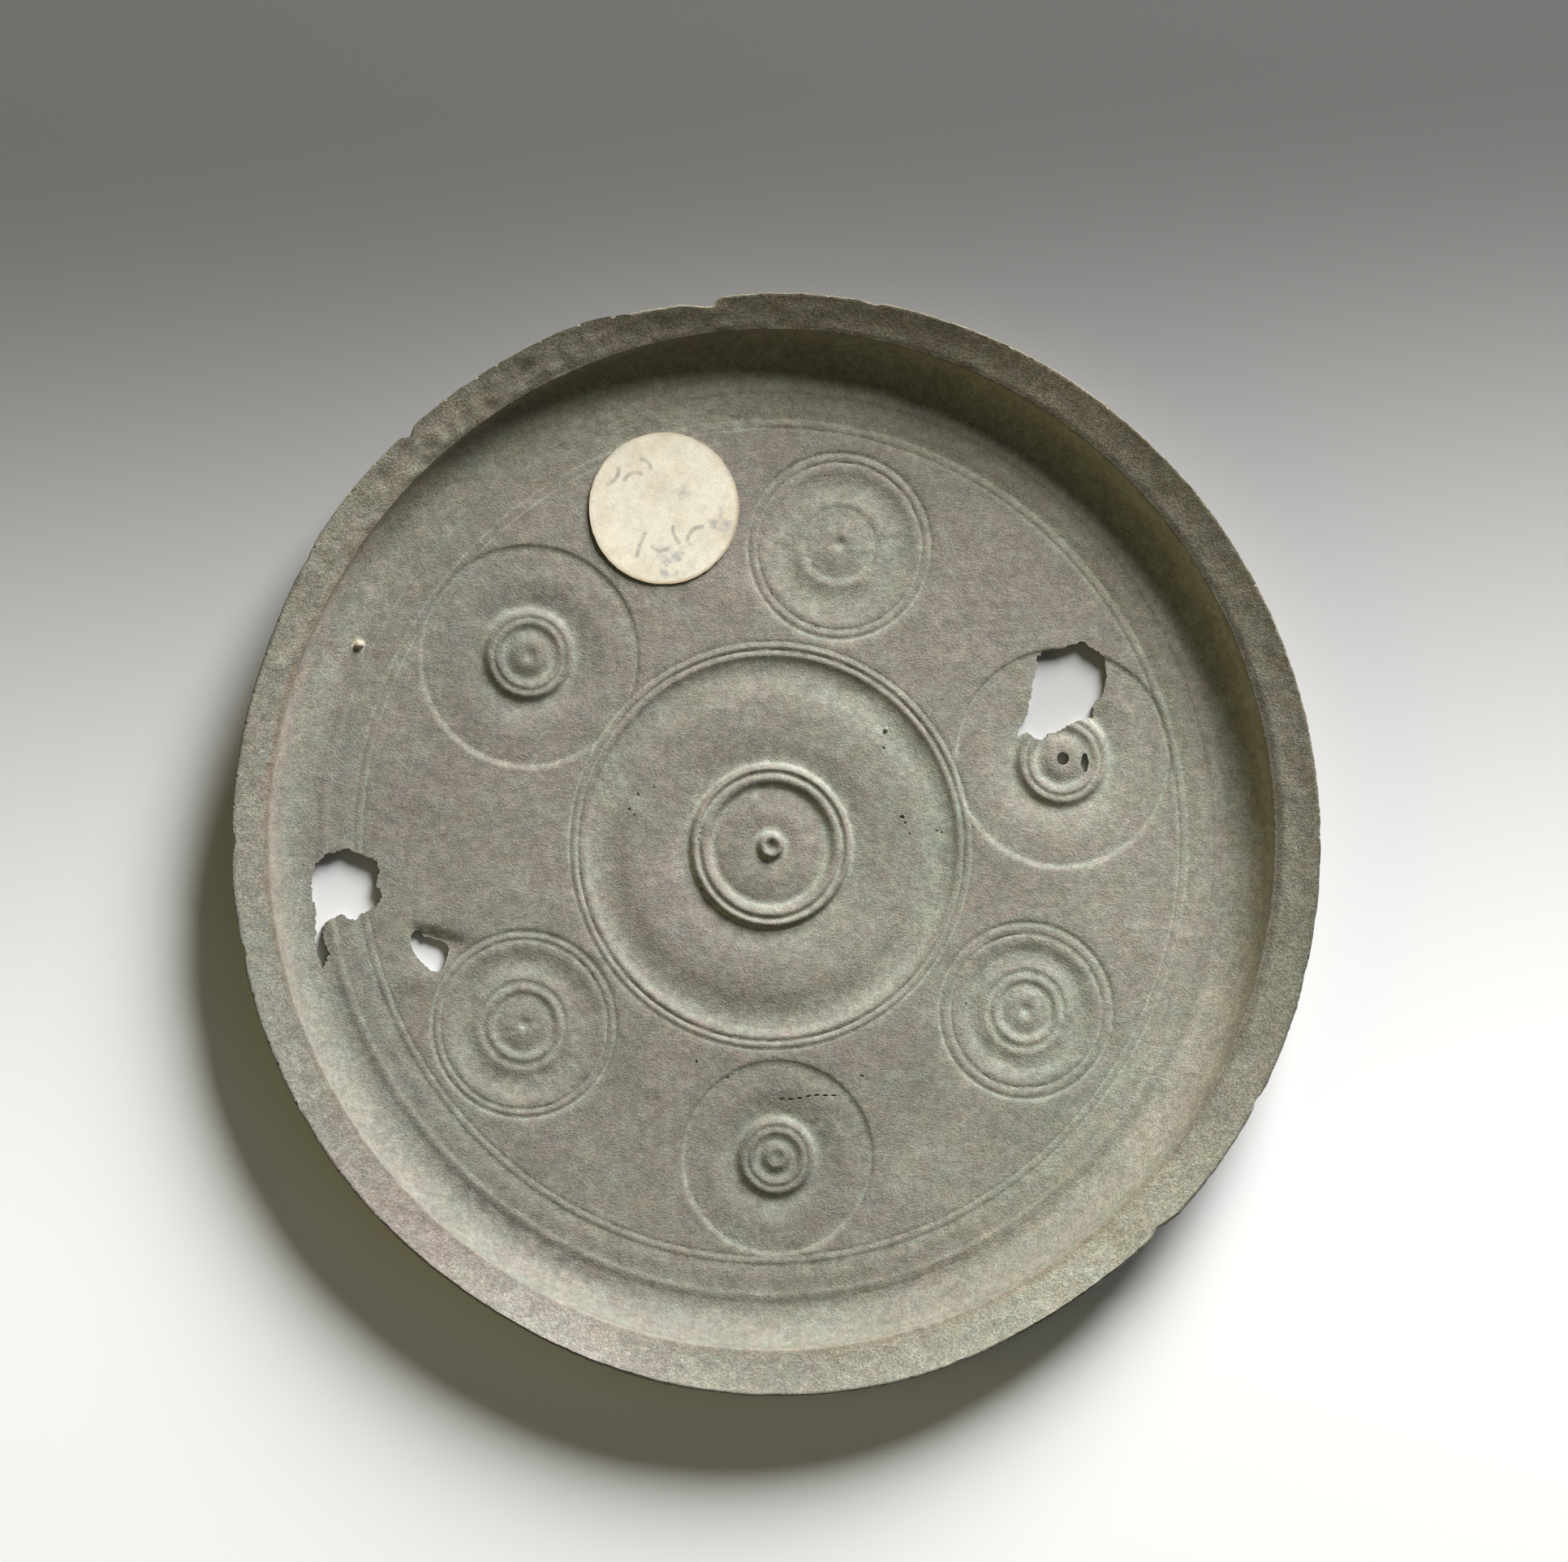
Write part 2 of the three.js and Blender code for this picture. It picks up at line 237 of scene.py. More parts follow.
def offset_at(radius):
    """How far a circle of this radius was turned off the outer circle's centre."""
    inwards = smooth(radius, 57, 60.5)[..., None]
    centre = BORDER_OFFSET * (1 - inwards) + RIM_OFFSET * inwards
    return centre * (1 - smooth(radius, RIM_INNER, OUTER_RADIUS - 0.5))[..., None]


def turned_radius(x, y):
    """The radius that a point of the back was turned at."""
    off = offset_at(np.hypot(x, y))
    return np.hypot(x - off[..., 0], y - off[..., 1])


def strayed(radius, outline):
    """The share of its outline's straying that a circle inside it takes part in."""
    return smooth(radius, outline * 0.5, outline * 0.8)


def ornament(x, y):
    """Height of the turned relief over the floor."""
    height = np.zeros(np.shape(x))
    for centre, stray, outline, relief in RELIEF_CURVES:
        share = strayed(np.hypot(x - centre[0], y - centre[1]), outline)
        away = np.hypot(x - centre[0] - share * stray[0], y - centre[1] - share * stray[1])
        height += np.where(away < outline, relief(away), 0)
    return height


def dents(x, y):
    """The floor is pushed in round the small hole, with a crease from its top to the right."""
    away = np.hypot((x - DENT[0]) * 0.9, y - DENT[1])
    pushed = -0.35 * hump(away, 0, 2.6)
    along = np.clip((x + 45) / 8, 0, 1)
    line = -10.3 - 2.1 * along
    fade = smooth(x, -46, -44) * (1 - smooth(x, -40.5, -37))
    crease = -0.6 * fade * np.exp(-np.clip(line - y, 0, None) / 1.5) * smooth(line - y, -0.4, 0.35)
    return pushed + crease + 0.3 * spot(x, y, -44.2, -16.9, 2.6, 1.3)


def unevenness(x, y, radius):
    """The old surface: corroded areas, traces of the lathe, and a lumpy crust on the rim."""
    corroded = sum(spot(x, y, *area) for area in CORRODED)
    rough = 0.034 * noise(x, y, 1.9, 2) + 0.022 * noise(x, y, 0.8, 3)
    worn = 0.045 * noise(x, y, 5.5, 1) + rough * (1 + 0.6 * np.clip(corroded, 0, 1))
    lathe_lines = 0.012 * noise(radius, 0 * radius, 0.42, 4) * smooth(noise(x, y, 7, 5), -0.3, 0.8)
    crinkled = sum(strength * spot(x, y, *place) for *place, strength in CRINKLES)
    pitted = spot(x, y, *ROUGH_PATCH, 2, 1.6)
    worn = worn + 0.24 * crinkled * noise(x, y, 0.7, 6) + 0.1 * pitted * noise(x, y, 0.45, 7)
    crust = smooth(radius, RIM_INNER, RIM_INNER + 0.6) * (1 - smooth(radius, 67.2, 68.5))
    crust = crust * (0.25 + 0.75 * bump(np.degrees(np.arctan2(y, x)), 128, 30))
    worn = worn + crust * (0.19 * noise(x, y, 1.7, 8) + 0.11 * noise(x, y, 0.9, 9))
    return worn + lathe_lines * smooth(radius, 51, 54)


def border(x, y, radius):
    """The scribed border, worn faint at the upper left, its outer line double at the right."""
    angle = np.degrees(np.arctan2(y, x))
    doubled = 0.09 * bump(angle, 330, 45) * hump(radius, 56.97, 0.17)
    height = BORDER_CURVE(radius) - doubled
    plain = np.interp(radius, [50.9, 53.2, 55.8, 56.7, TROUGH_RADIUS], [0, 0.01, 0.03, 0.03, -0.06])
    faint = 0.97 * bump(angle, 121, 31) * (1 - 0.4 * smooth(radius, 54, 55.5) * bump(angle, 95, 20))
    return np.where(radius > BORDER[0][0], height * (1 - faint) + plain * faint, 0)


def back_height(x, y, radius):
    """Height of the back inside the cove, in millimetres over the underside."""
    flat = FLOOR_TOP + border(x, y, radius)
    return flat + ornament(x, y) + dents(x, y) + unevenness(x, y, radius)


def height_at(x, y):
    at = np.array([x]), np.array([y])
    return back_height(*at, turned_radius(*at))[0]


# ---- Building the mirror's mesh --------------------------------------
class Sheet:
    """Points and faces, gathered ring by ring and patch by patch."""

    def __init__(self):
        self.points = []
        self.faces = []
        self.count = 0

    def add(self, points):
        self.points.append(points)
        self.count += len(points)
        return np.arange(self.count - len(points), self.count)

    def band(self, inner, outer):
        """Faces between two rings that have as many points, or one twice as many as the other."""
        steps = min(len(inner), len(outer))
        a, b = len(inner) // steps, len(outer) // steps
        for i in range(steps):
            near = [inner[(i * a + k) % len(inner)] for k in range(a, -1, -1)]
            far = [outer[(i * b + k) % len(outer)] for k in range(b + 1)]
            self.faces.append(far + near)

    def fan(self, middle, ring, outwards):
        for i, point in enumerate(ring):
            after = ring[(i + 1) % len(ring)]
            self.faces.append([middle, point, after] if outwards else [middle, after, point])


def circle(radius, steps):
    turn = np.arange(steps) * 2 * np.pi / steps
    return np.stack([np.cos(turn), np.sin(turn)], -1) * np.reshape(radius, (-1, 1))


def raised(flat, height):
    """Flat points lifted to one height, or each to its own."""
    return np.hstack([flat, np.zeros((len(flat), 1)) + np.reshape(height, (-1, 1))])


DISH_STEPS = 600
FIELD_RADIUS = BORDER[0][0]
GAP = 0.06  # half the strip that is left between two patches
SPACING = 0.66  # of the points on the flat floor

# Losses in the rim's edge: angle, depth, and how far each reaches to the right and to the left.
NOTCHES = [
    [96.8, 1.05, 0.5, 2.6], [132.4, 0.85, 0.8, 0.6], [179.5, 0.45, 0.6, 1.2], [191, 0.4, 0.8, 1.2],
    [315, 0.5, 1, 1.4], [332, 0.35, 0.6, 0.9], [79.6, 0.25, 0.4, 0.9], [149, 0.3, 0.5, 1],
]


def worn_edge(angle):
    """Radius of the rim's edge, all round, as use and corrosion left it."""
    turn = np.radians(angle)
    x, y = OUTER_RADIUS * np.cos(turn), OUTER_RADIUS * np.sin(turn)
    rough = 0.05 * noise(x, y, 1.6, 12) + 0.04 * noise(x, y, 0.55, 14)
    lost = 0
    for middle, depth, right, left in NOTCHES:
        away = (angle - middle + 180) % 360 - 180
        lost = lost + depth * hump(away, 0, np.where(away < 0, right, left))
    return OUTER_RADIUS - 0.07 + edge_wear(angle) + rough - lost


def edge_cutter():
    """A ring whose inner wall is the worn edge, blunt at its top and blunter at the lower right."""
    steps = 1600
    outside, over, under = 75, 9, 3.5
    angle = np.arange(steps) * 360 / steps
    sheet = Sheet()
    edge = worn_edge(angle)
    blunt = 0.2 + 0.15 * smooth(angle, 235, 262) * (1 - smooth(angle, 315, 345))
    top = RIM_TOP - 0.42 * (OUTER_RADIUS - edge)
    walls = [
        (edge - blunt, over), (outside, over), (outside, under), (edge - 0.05, under),
        (edge, top - 0.75 * blunt), (edge - 0.3 * blunt, top - 0.4 * blunt),
        (edge - blunt, top - 0.3 * blunt),
    ]
    rings = [sheet.add(raised(circle(radius, steps), height)) for radius, height in walls]
    for k in range(len(rings)):
        sheet.band(rings[k], rings[(k + 1) % len(rings)])
    return np.vstack(sheet.points), sheet.faces


def edge_wear(angle):
    """The edge swells at the upper left, and is worn flat beside the swelling and lower down."""
    angle = angle % 360
    swelling = 0.65 * smooth(angle, 105, 111) * (1 - smooth(angle, 142, 160))
    shoulder = 0.15 * smooth(angle, 105, 111) * (1 - smooth(angle, 195, 225))
    flats = 0.25 * bump(angle, 101, 4) + 0.45 * bump(angle, 238, 14) + 0.5 * bump(angle, 304, 13)
    return swelling + shoulder - flats


def dish_ring(radius, height, steps):
    """One ring of the dish, moved to its own centre and worn, with its height as given."""
    angle = np.arange(steps) * 360 / steps
    x, y = circle(radius, steps).T
    share = smooth(height, 0, RIM_TOP) * smooth(radius, RIM_INNER, OUTER_RADIUS)
    stretch = 1 + edge_wear(angle) * share / radius
    off = offset_at(radius) * smooth(height, 0, 0.7)
    return x * stretch + off[0], y * stretch + off[1]


# From the rim's inner edge: out and up. The edge is blunt, and steepest just outside.
LIP = [[-0.42, -1.6], [-0.26, -1.0], [-0.14, -0.5], [-0.05, -0.13], [0.04, 0.0], [0.16, 0.05],
       [0.45, 0.15], [0.8, 0.26], [1.1, 0.35]]
RIM_SLOPE = 0.26  # how fast the rim climbs beside its inner edge; it grows steeper outwards
SPARE = 0.3  # metal past the edge, for the wear to take off


def top_rings():
    """[radius, height or None] from the floor out to the edge; None leaves it to back_height."""
    rings = [[r, None] for r in rings_of(BORDER, 0.4)[:-1]]
    for turn in np.linspace(0, math.radians(64), 13):
        radius = TROUGH_RADIUS + (RIM_INNER - TROUGH_RADIUS) * math.sin(turn)
        rings.append([radius, TROUGH_TOP + (RIM_INNER_TOP - TROUGH_TOP) * (1 - math.cos(turn))])
    for out, up in LIP:
        rings.append([RIM_INNER + out, RIM_INNER_TOP + up])
    start, lift = LIP[-1]
    rest = RIM_WIDTH - start
    bend = (RIM_TOP - RIM_INNER_TOP - lift - rest * RIM_SLOPE) / rest**2
    for out in np.linspace(0.3, rest + SPARE, 11):
        height = RIM_INNER_TOP + lift + RIM_SLOPE * out + bend * out**2
        rings.append([RIM_INNER + start + out, height])
    return rings


def side_rings():
    """[radius, height] from the worn edge, down the outer wall and round the foot."""
    rings = [[OUTER_RADIUS + SPARE, RIM_TOP - 0.6]]
    for share in np.linspace(0, 1, 6):
        height = (RIM_TOP - 0.9) * (1 - share) + 0.7 * share
        rings.append([OUTER_RADIUS - 0.1 - 2.5 * share, height])
    rings += [[FOOT_RADIUS - 0.2, 0.3], [FOOT_RADIUS - 0.6, 0.08], [FOOT_RADIUS - 1.1, 0]]
    return rings


UNDER_LINES = [62.4, 61.5]  # two fine turned lines near the edge of the reflecting face
UNDER_LINE_DEPTH = 0.12


def under_rings():
    """[radius, height, points] across the reflecting face to its middle."""
    rings = []
    for line in UNDER_LINES:
        rings += [[line + 0.25, 0, 300], [line, UNDER_LINE_DEPTH, 300], [line - 0.25, 0, 300]]
    for radius in np.arange(59, 3, -3.5):
        rings.append([radius, 0, 150])
    rings += [[1.2, 0, 75], [0.5, 0.25, 75]]
    return rings


def build_dish(sheet):
    """Rim, cove, channel, outer wall and underside. Returns the ring that the floor fits."""
    first = last = None
    for radius, height in top_rings():
        x, y = dish_ring(radius, RIM_TOP / 2 if height is None else height, DISH_STEPS)
        same = np.full_like(x, radius)
        z = back_height(x, y, same) if height is None else height + unevenness(x, y, same)
        ring = sheet.add(np.stack([x, y, z], -1))
        if last is None:
            first = ring
        else:
            sheet.band(last, ring)
        last = ring
    for radius, height in side_rings():
        x, y = dish_ring(radius, height, DISH_STEPS)
        rough = 0.03 * noise(x + 90, y + height, 2.5, 13) * smooth(height, 0.2, 1)
        ring = sheet.add(np.stack([x, y, height + rough], -1))
        sheet.band(last, ring)
        last = ring
    for radius, height, steps in under_rings():
        ring = sheet.add(raised(circle(radius, steps), height))
        sheet.band(last, ring)
        last = ring
    middle = sheet.add(np.array([[0.0, 0.0, 0.3]]))[0]
    sheet.fan(middle, last, outwards=False)
    return first


def patch_limit(index, directions):
    """How far the patch of one relief may reach each way before it meets its neighbours' ground."""
    centre, stray, outline, _ = RELIEF_CURVES[index]
    reach = np.full(len(directions), outline)
    others = [0] if index else range(1, len(RELIEF_CURVES))
    for other in others:
        towards = RELIEF_CURVES[other][0] + RELIEF_CURVES[other][1] - centre - stray
        distance = np.hypot(*towards)
        share = (distance + outline - RELIEF_CURVES[other][2]) / 2 - GAP
        facing = directions @ (towards / distance)
        reach = np.where(facing > 0.2, np.minimum(reach, share / np.maximum(facing, 0.2)), reach)
    away = centre + stray - BORDER_OFFSET
    along = directions @ away
    room = (FIELD_RADIUS - GAP) ** 2 - away @ away
    return np.minimum(reach, -along + np.sqrt(along**2 + room))


def build_patch(sheet, index, steps):
    """One round relief as rings, fewer points near its middle. Returns its outermost ring."""
    centre, stray, outline, _ = RELIEF_CURVES[index]
    held = outline - 3.5  # rings inside this keep their size where the patch is squeezed
    middle = sheet.add(np.array([[*centre, 0.0]]))[0]
    last = None
    for radius in rings_of(RELIEFS[index][2])[1:]:
        count = steps // (4 if radius < outline * 0.12 else 2 if radius < outline * 0.45 else 1)
        directions = circle(1, count)
        limit = patch_limit(index, directions)
        squeezed = held + (radius - held) * (limit - held) / (outline - held)
        reach = np.where(radius > held, squeezed, radius)
        points = centre + stray * strayed(radius, outline) + directions * reach[:, None]
        ring = sheet.add(raised(points, 0))
        if last is None:
            sheet.fan(middle, ring, outwards=True)
        else:
            sheet.band(last, ring)
        last = ring
    return last


def fill_field(sheet, outer, loops):
    """Triangles over the flat floor between the outer ring and the round patches."""
    every = np.vstack(sheet.points)[:, :2]
    loop_points = [every[loop] for loop in [outer, *loops]]
    rng = np.random.default_rng(21)
    columns = np.arange(-FIELD_RADIUS, FIELD_RADIUS, SPACING)
    x, y = np.meshgrid(columns, columns * 0.866)
    x = x + (np.arange(len(x)) % 2)[:, None] * SPACING / 2
    inner = np.stack([x.ravel(), y.ravel()], -1)
    inner = inner + rng.uniform(-0.1, 0.1, inner.shape)
    keep = np.hypot(*(inner - BORDER_OFFSET).T) < FIELD_RADIUS - 0.5
    for centre, stray, outline, _ in RELIEF_CURVES:
        keep &= np.hypot(*(inner - centre - stray).T) > outline + 0.35
    added = inner[keep]
    first_new = sheet.count
    sheet.add(raised(added, 0))

    owner = []
    edges = []
    corners = []
    for number, loop in enumerate([outer, *loops]):
        start = len(corners)
        edges += [(start + k, start + (k + 1) % len(loop)) for k in range(len(loop))]
        owner += [number] * len(loop)
        corners += [int(index) for index in loop]
    owner += [0] * len(added)
    corners += range(first_new, sheet.count)
    flat = [Vector(p) for p in np.vstack([*loop_points, added])]
    _, _, triangles, origins, _, _ = delaunay_2d_cdt(flat, edges, [], 0, 1e-7)
    for triangle in triangles:
        a, b, c = (origins[v][0] for v in triangle)
        turns_with_loop = (a < b) + (b < c) + (c < a) == 2
        if owner[a] and owner[a] == owner[b] == owner[c] and turns_with_loop:
            continue  # the triangle lies inside a round patch
        sheet.faces.append([corners[a], corners[b], corners[c]])


def mesh_object(name, points, faces):
    mesh = bpy.data.meshes.new(name)
    mesh.from_pydata((np.asarray(points) * MM).tolist(), [], [[int(v) for v in f] for f in faces])
    mesh.validate()
    piece = bpy.data.objects.new(name, mesh)
    bpy.context.scene.collection.objects.link(piece)
    return piece


def ragged(corners, seed, tooth=0.16, step=0.3):
    """An outline with its edges broken into short steps that stray a little to either side."""
    rng = np.random.default_rng(seed)
    corners = np.array(corners, float)
    after = np.roll(corners, -1, axis=0)
    if (corners[:, 0] * after[:, 1] - after[:, 0] * corners[:, 1]).sum() < 0:
        corners = corners[::-1]  # solids need their outlines to turn left
    outline = []
    for start, end in zip(corners, np.roll(corners, -1, axis=0)):
        run = end - start
        length = np.hypot(*run)
        side = np.array([-run[1], run[0]]) / length
        count = max(1, round(length / step))
        for k in range(count):
            stray = rng.uniform(-tooth, tooth)
            outline.append(start + run * (k + rng.uniform(-0.2, 0.2)) / count + side * stray)
    return np.array(outline)


def prism(outline, bottom, top, spread=0.0):
    """A closed prism over an outline, whose lower end may be spread a little wider."""
    middle = outline.mean(axis=0)
    away = outline - middle
    lower = outline + spread * away / np.hypot(*away.T)[:, None]
    points = np.vstack([raised(lower, bottom), raised(outline, top)])
    count = len(outline)
    faces = [[i, (i + 1) % count, count + (i + 1) % count, count + i] for i in range(count)]
    faces += [list(range(count - 1, -1, -1)), list(range(count, 2 * count))]
    return points, faces


def pebble(centre, size, seed, turn=0.0):
    """A rough rounded lump, stretched to the three half-sizes and turned about the vertical."""
    rng = np.random.default_rng(seed)
    sides, levels = 10, 6
    points = [[0, 0, -1.0]]
    for j in range(1, levels):
        tilt = math.pi * j / levels
        for i in range(sides):
            angle = 2 * math.pi * i / sides
            reach = 1 + rng.uniform(-0.16, 0.16)
            flat = math.sin(tilt) * reach
            points.append([flat * math.cos(angle), flat * math.sin(angle), -math.cos(tilt) * reach])
    points.append([0, 0, 1.0])
    pairs = [(i, (i + 1) % sides) for i in range(sides)]
    faces = [[0, 1 + after, 1 + i] for i, after in pairs]
    for low in range(1, 1 + (levels - 2) * sides, sides):
        high = low + sides
        faces += [[low + i, low + after, high + after, high + i] for i, after in pairs]
    last = 1 + (levels - 2) * sides
    faces += [[last + i, last + after, len(points) - 1] for i, after in pairs]
    points = np.array(points) * size
    c, s = math.cos(turn), math.sin(turn)
    points[:, :2] = points[:, :2] @ np.array([[c, s], [-s, c]])
    return points + centre, faces


def combine(name, solids):
    """One object that holds several closed meshes."""
    points, faces, count = [], [], 0
    for solid_points, solid_faces in solids:
        points.append(solid_points)
        faces += [[v + count for v in face] for face in solid_faces]
        count += len(solid_points)
    return mesh_object(name, np.vstack(points), faces)


def polar(angle, radius, height):
    turn = math.radians(angle)
    return np.array([radius * math.cos(turn), radius * math.sin(turn), height])


def make_cutters():
    """What corrosion and use took away: the holes, and the worn edge of the rim."""
    pin = circle(PINHOLE_RADIUS, 24) + roundel_centre(*ROUNDELS[0][:2])
    under, over = -1, 3
    return [
        prism(ragged(LEFT_HOLE, 31), under, over, 0.25),
        prism(ragged(SMALL_HOLE, 32, 0.06), under, over, 0.25),
        prism(ragged(ROUNDEL_HOLE, 33), under, over, 0.25),
        prism(ragged(SLIT, 34, 0.05), under, over, 0.15),
        prism(ragged(pin, 35, 0.03, 0.2), under, over, 0.1),
        edge_cutter(),
    ]


PITS = [  # x, y, half-size
    (16.8, 3.4, 0.4), (17.2, 2.7, 0.25), (17.8, 1.3, 0.22), (11.7, -29, 0.3), (-5.3, -29.2, 0.25),
    (-9.3, -27.2, 0.25), (14.5, 12.1, 0.25), (-17.8, 4.4, 0.28), (-17.2, 3.7, 0.18),
    (-16.7, 6.3, 0.25), (-14.7, 7.2, 0.2), (-8.9, 1.4, 0.2), (-9.1, 0.6, 0.22), (-8.6, 2.1, 0.16),
    (21.3, 1.7, 0.2), (21.9, 1.5, 0.2), (-8.6, -5.6, 0.3), (25, -20, 0.2),
]


def make_pits():
    """Small bites out of the rim's edge, pits in the back and a short crack, none over another."""
    solids = []
    rng = np.random.default_rng(41)
    for k in range(90):
        angle, size = 4 * k + rng.uniform(-1, 1), rng.uniform(0.15, 0.5)
        centre = polar(angle, worn_edge(angle), RIM_TOP + 0.05)
        solids.append(pebble(centre, [size * 0.6, size, size * 0.8], 100 + k, math.radians(angle)))
    for k, (x, y, size) in enumerate(PITS):
        height = height_at(x, y)
        solids.append(pebble([x, y, height], [size, size * 0.7, size * 0.8], 200 + k, k * 0.9))
    for k in range(7):
        x, y = 1.6 + 1.1 * k, -31.85 + 0.09 * k + 0.12 * math.sin(5 * k)
        height = height_at(x, y)
        solids.append(pebble([x, y, height], [0.42, 0.13, 0.35], 300 + k, 0.08))
    return solids


CRUMBS = [(-52, 25, 0.62), (14.8, 14.4, 0.36)]  # grains of pale soil stuck to the back


def make_crumbs():
    solids = []
    for k, (x, y, size) in enumerate(CRUMBS):
        height = TROUGH_TOP if math.hypot(x, y) > TROUGH_RADIUS - 2 else height_at(x, y)
        sizes = [size, size * 0.8, size * 0.7]
        solids.append(pebble([x, y, height + size * 0.3], sizes, 400 + k, k))
    return solids


def boolean(piece, other, operation):
    modifier = piece.modifiers.new(operation, "BOOLEAN")
    modifier.operation = operation
    modifier.solver = "MANIFOLD"
    modifier.object = other
    graph = bpy.context.evaluated_depsgraph_get()
    made = bpy.data.meshes.new_from_object(piece.evaluated_get(graph))
    piece.modifiers.clear()
    old, piece.data = piece.data, made
    made.name = old.name
    bpy.data.meshes.remove(old)
    bpy.data.objects.remove(other)


def point_attribute(mesh, name, values):
    attribute = mesh.attributes.new(name, "FLOAT", "POINT")
    attribute.data.foreach_set("value", np.asarray(values, np.float32))


def coordinates(mesh):
    flat = np.zeros(len(mesh.vertices) * 3)
    mesh.vertices.foreach_get("co", flat)
    return flat.reshape(-1, 3).T / MM


def build_mirror():
    sheet = Sheet()
    outer = build_dish(sheet)
    start = sheet.count
    loops = [build_patch(sheet, k, 128 if k else 232) for k in range(len(RELIEF_CURVES))]
    fill_field(sheet, outer, loops)
    points = np.vstack(sheet.points)
    x, y = points[start:, 0], points[start:, 1]
    points[start:, 2] = back_height(x, y, turned_radius(x, y))
    piece = mesh_object("mirror_body", points, sheet.faces)
    boolean(piece, combine("losses", make_cutters()), "DIFFERENCE")
    boolean(piece, combine("pits", make_pits()), "DIFFERENCE")
    boolean(piece, combine("crumbs", make_crumbs()), "UNION")
    piece.data.materials.clear()
    piece.data.shade_smooth()
    piece.data.set_sharp_from_angle(angle=SHARP_ANGLE)
    return piece


RIM_FINISH_FROM = 3  # the rim's finish reaches this far down the outer wall

# Broad areas of the back: x, y, how far each reaches, how much paler it is, how much redder.
AREAS = [
    (46, -6, 9, 0.22, 0), (37.2, 10.7, 11, 0.25, -0.1), (13, -13, 9, 0.18, -0.3),
    (12, 14, 8, 0.12, -0.7), (-12, 13, 9, -0.07, 0.2), (-30.5, 23.7, 12, -0.16, 0.7),
    (-45, 5, 9, -0.1, 0.2), (-20, -28, 7, -0.1, 0), (-2, 49, 6, -0.1, 0.3),
    (0.8, -39, 9, -0.2, -0.4), (32.6, -20.8, 10, 0.28, -0.7), (20, -38, 7, 0.2, -0.4),
    (8.8, 37.6, 7, 0.12, -0.7), (-10, 42, 15, 0, 1), (26, 28, 8, 0, 1), (-14, -9, 9, 0, 0.7),
    (-30, 9, 9, 0, 0.5), (40, -35, 16, 0, -0.8), (-30.5, 23.7, 5, 0.1, -1.3), (20, 2, 7, 0, -1),
    (-36, -22, 10, 0, -0.2), (0, 0, 17, 0.08, 0), (45, 8, 7, 0.16, 0), (-38, 21, 7, -0.2, 0.2),
    (18, -31, 7, -0.12, 0), (45, -17, 6, 0.12, 0), (24, -42, 6, 0.1, 0), (-46, 24, 9, 0.05, 0),
]


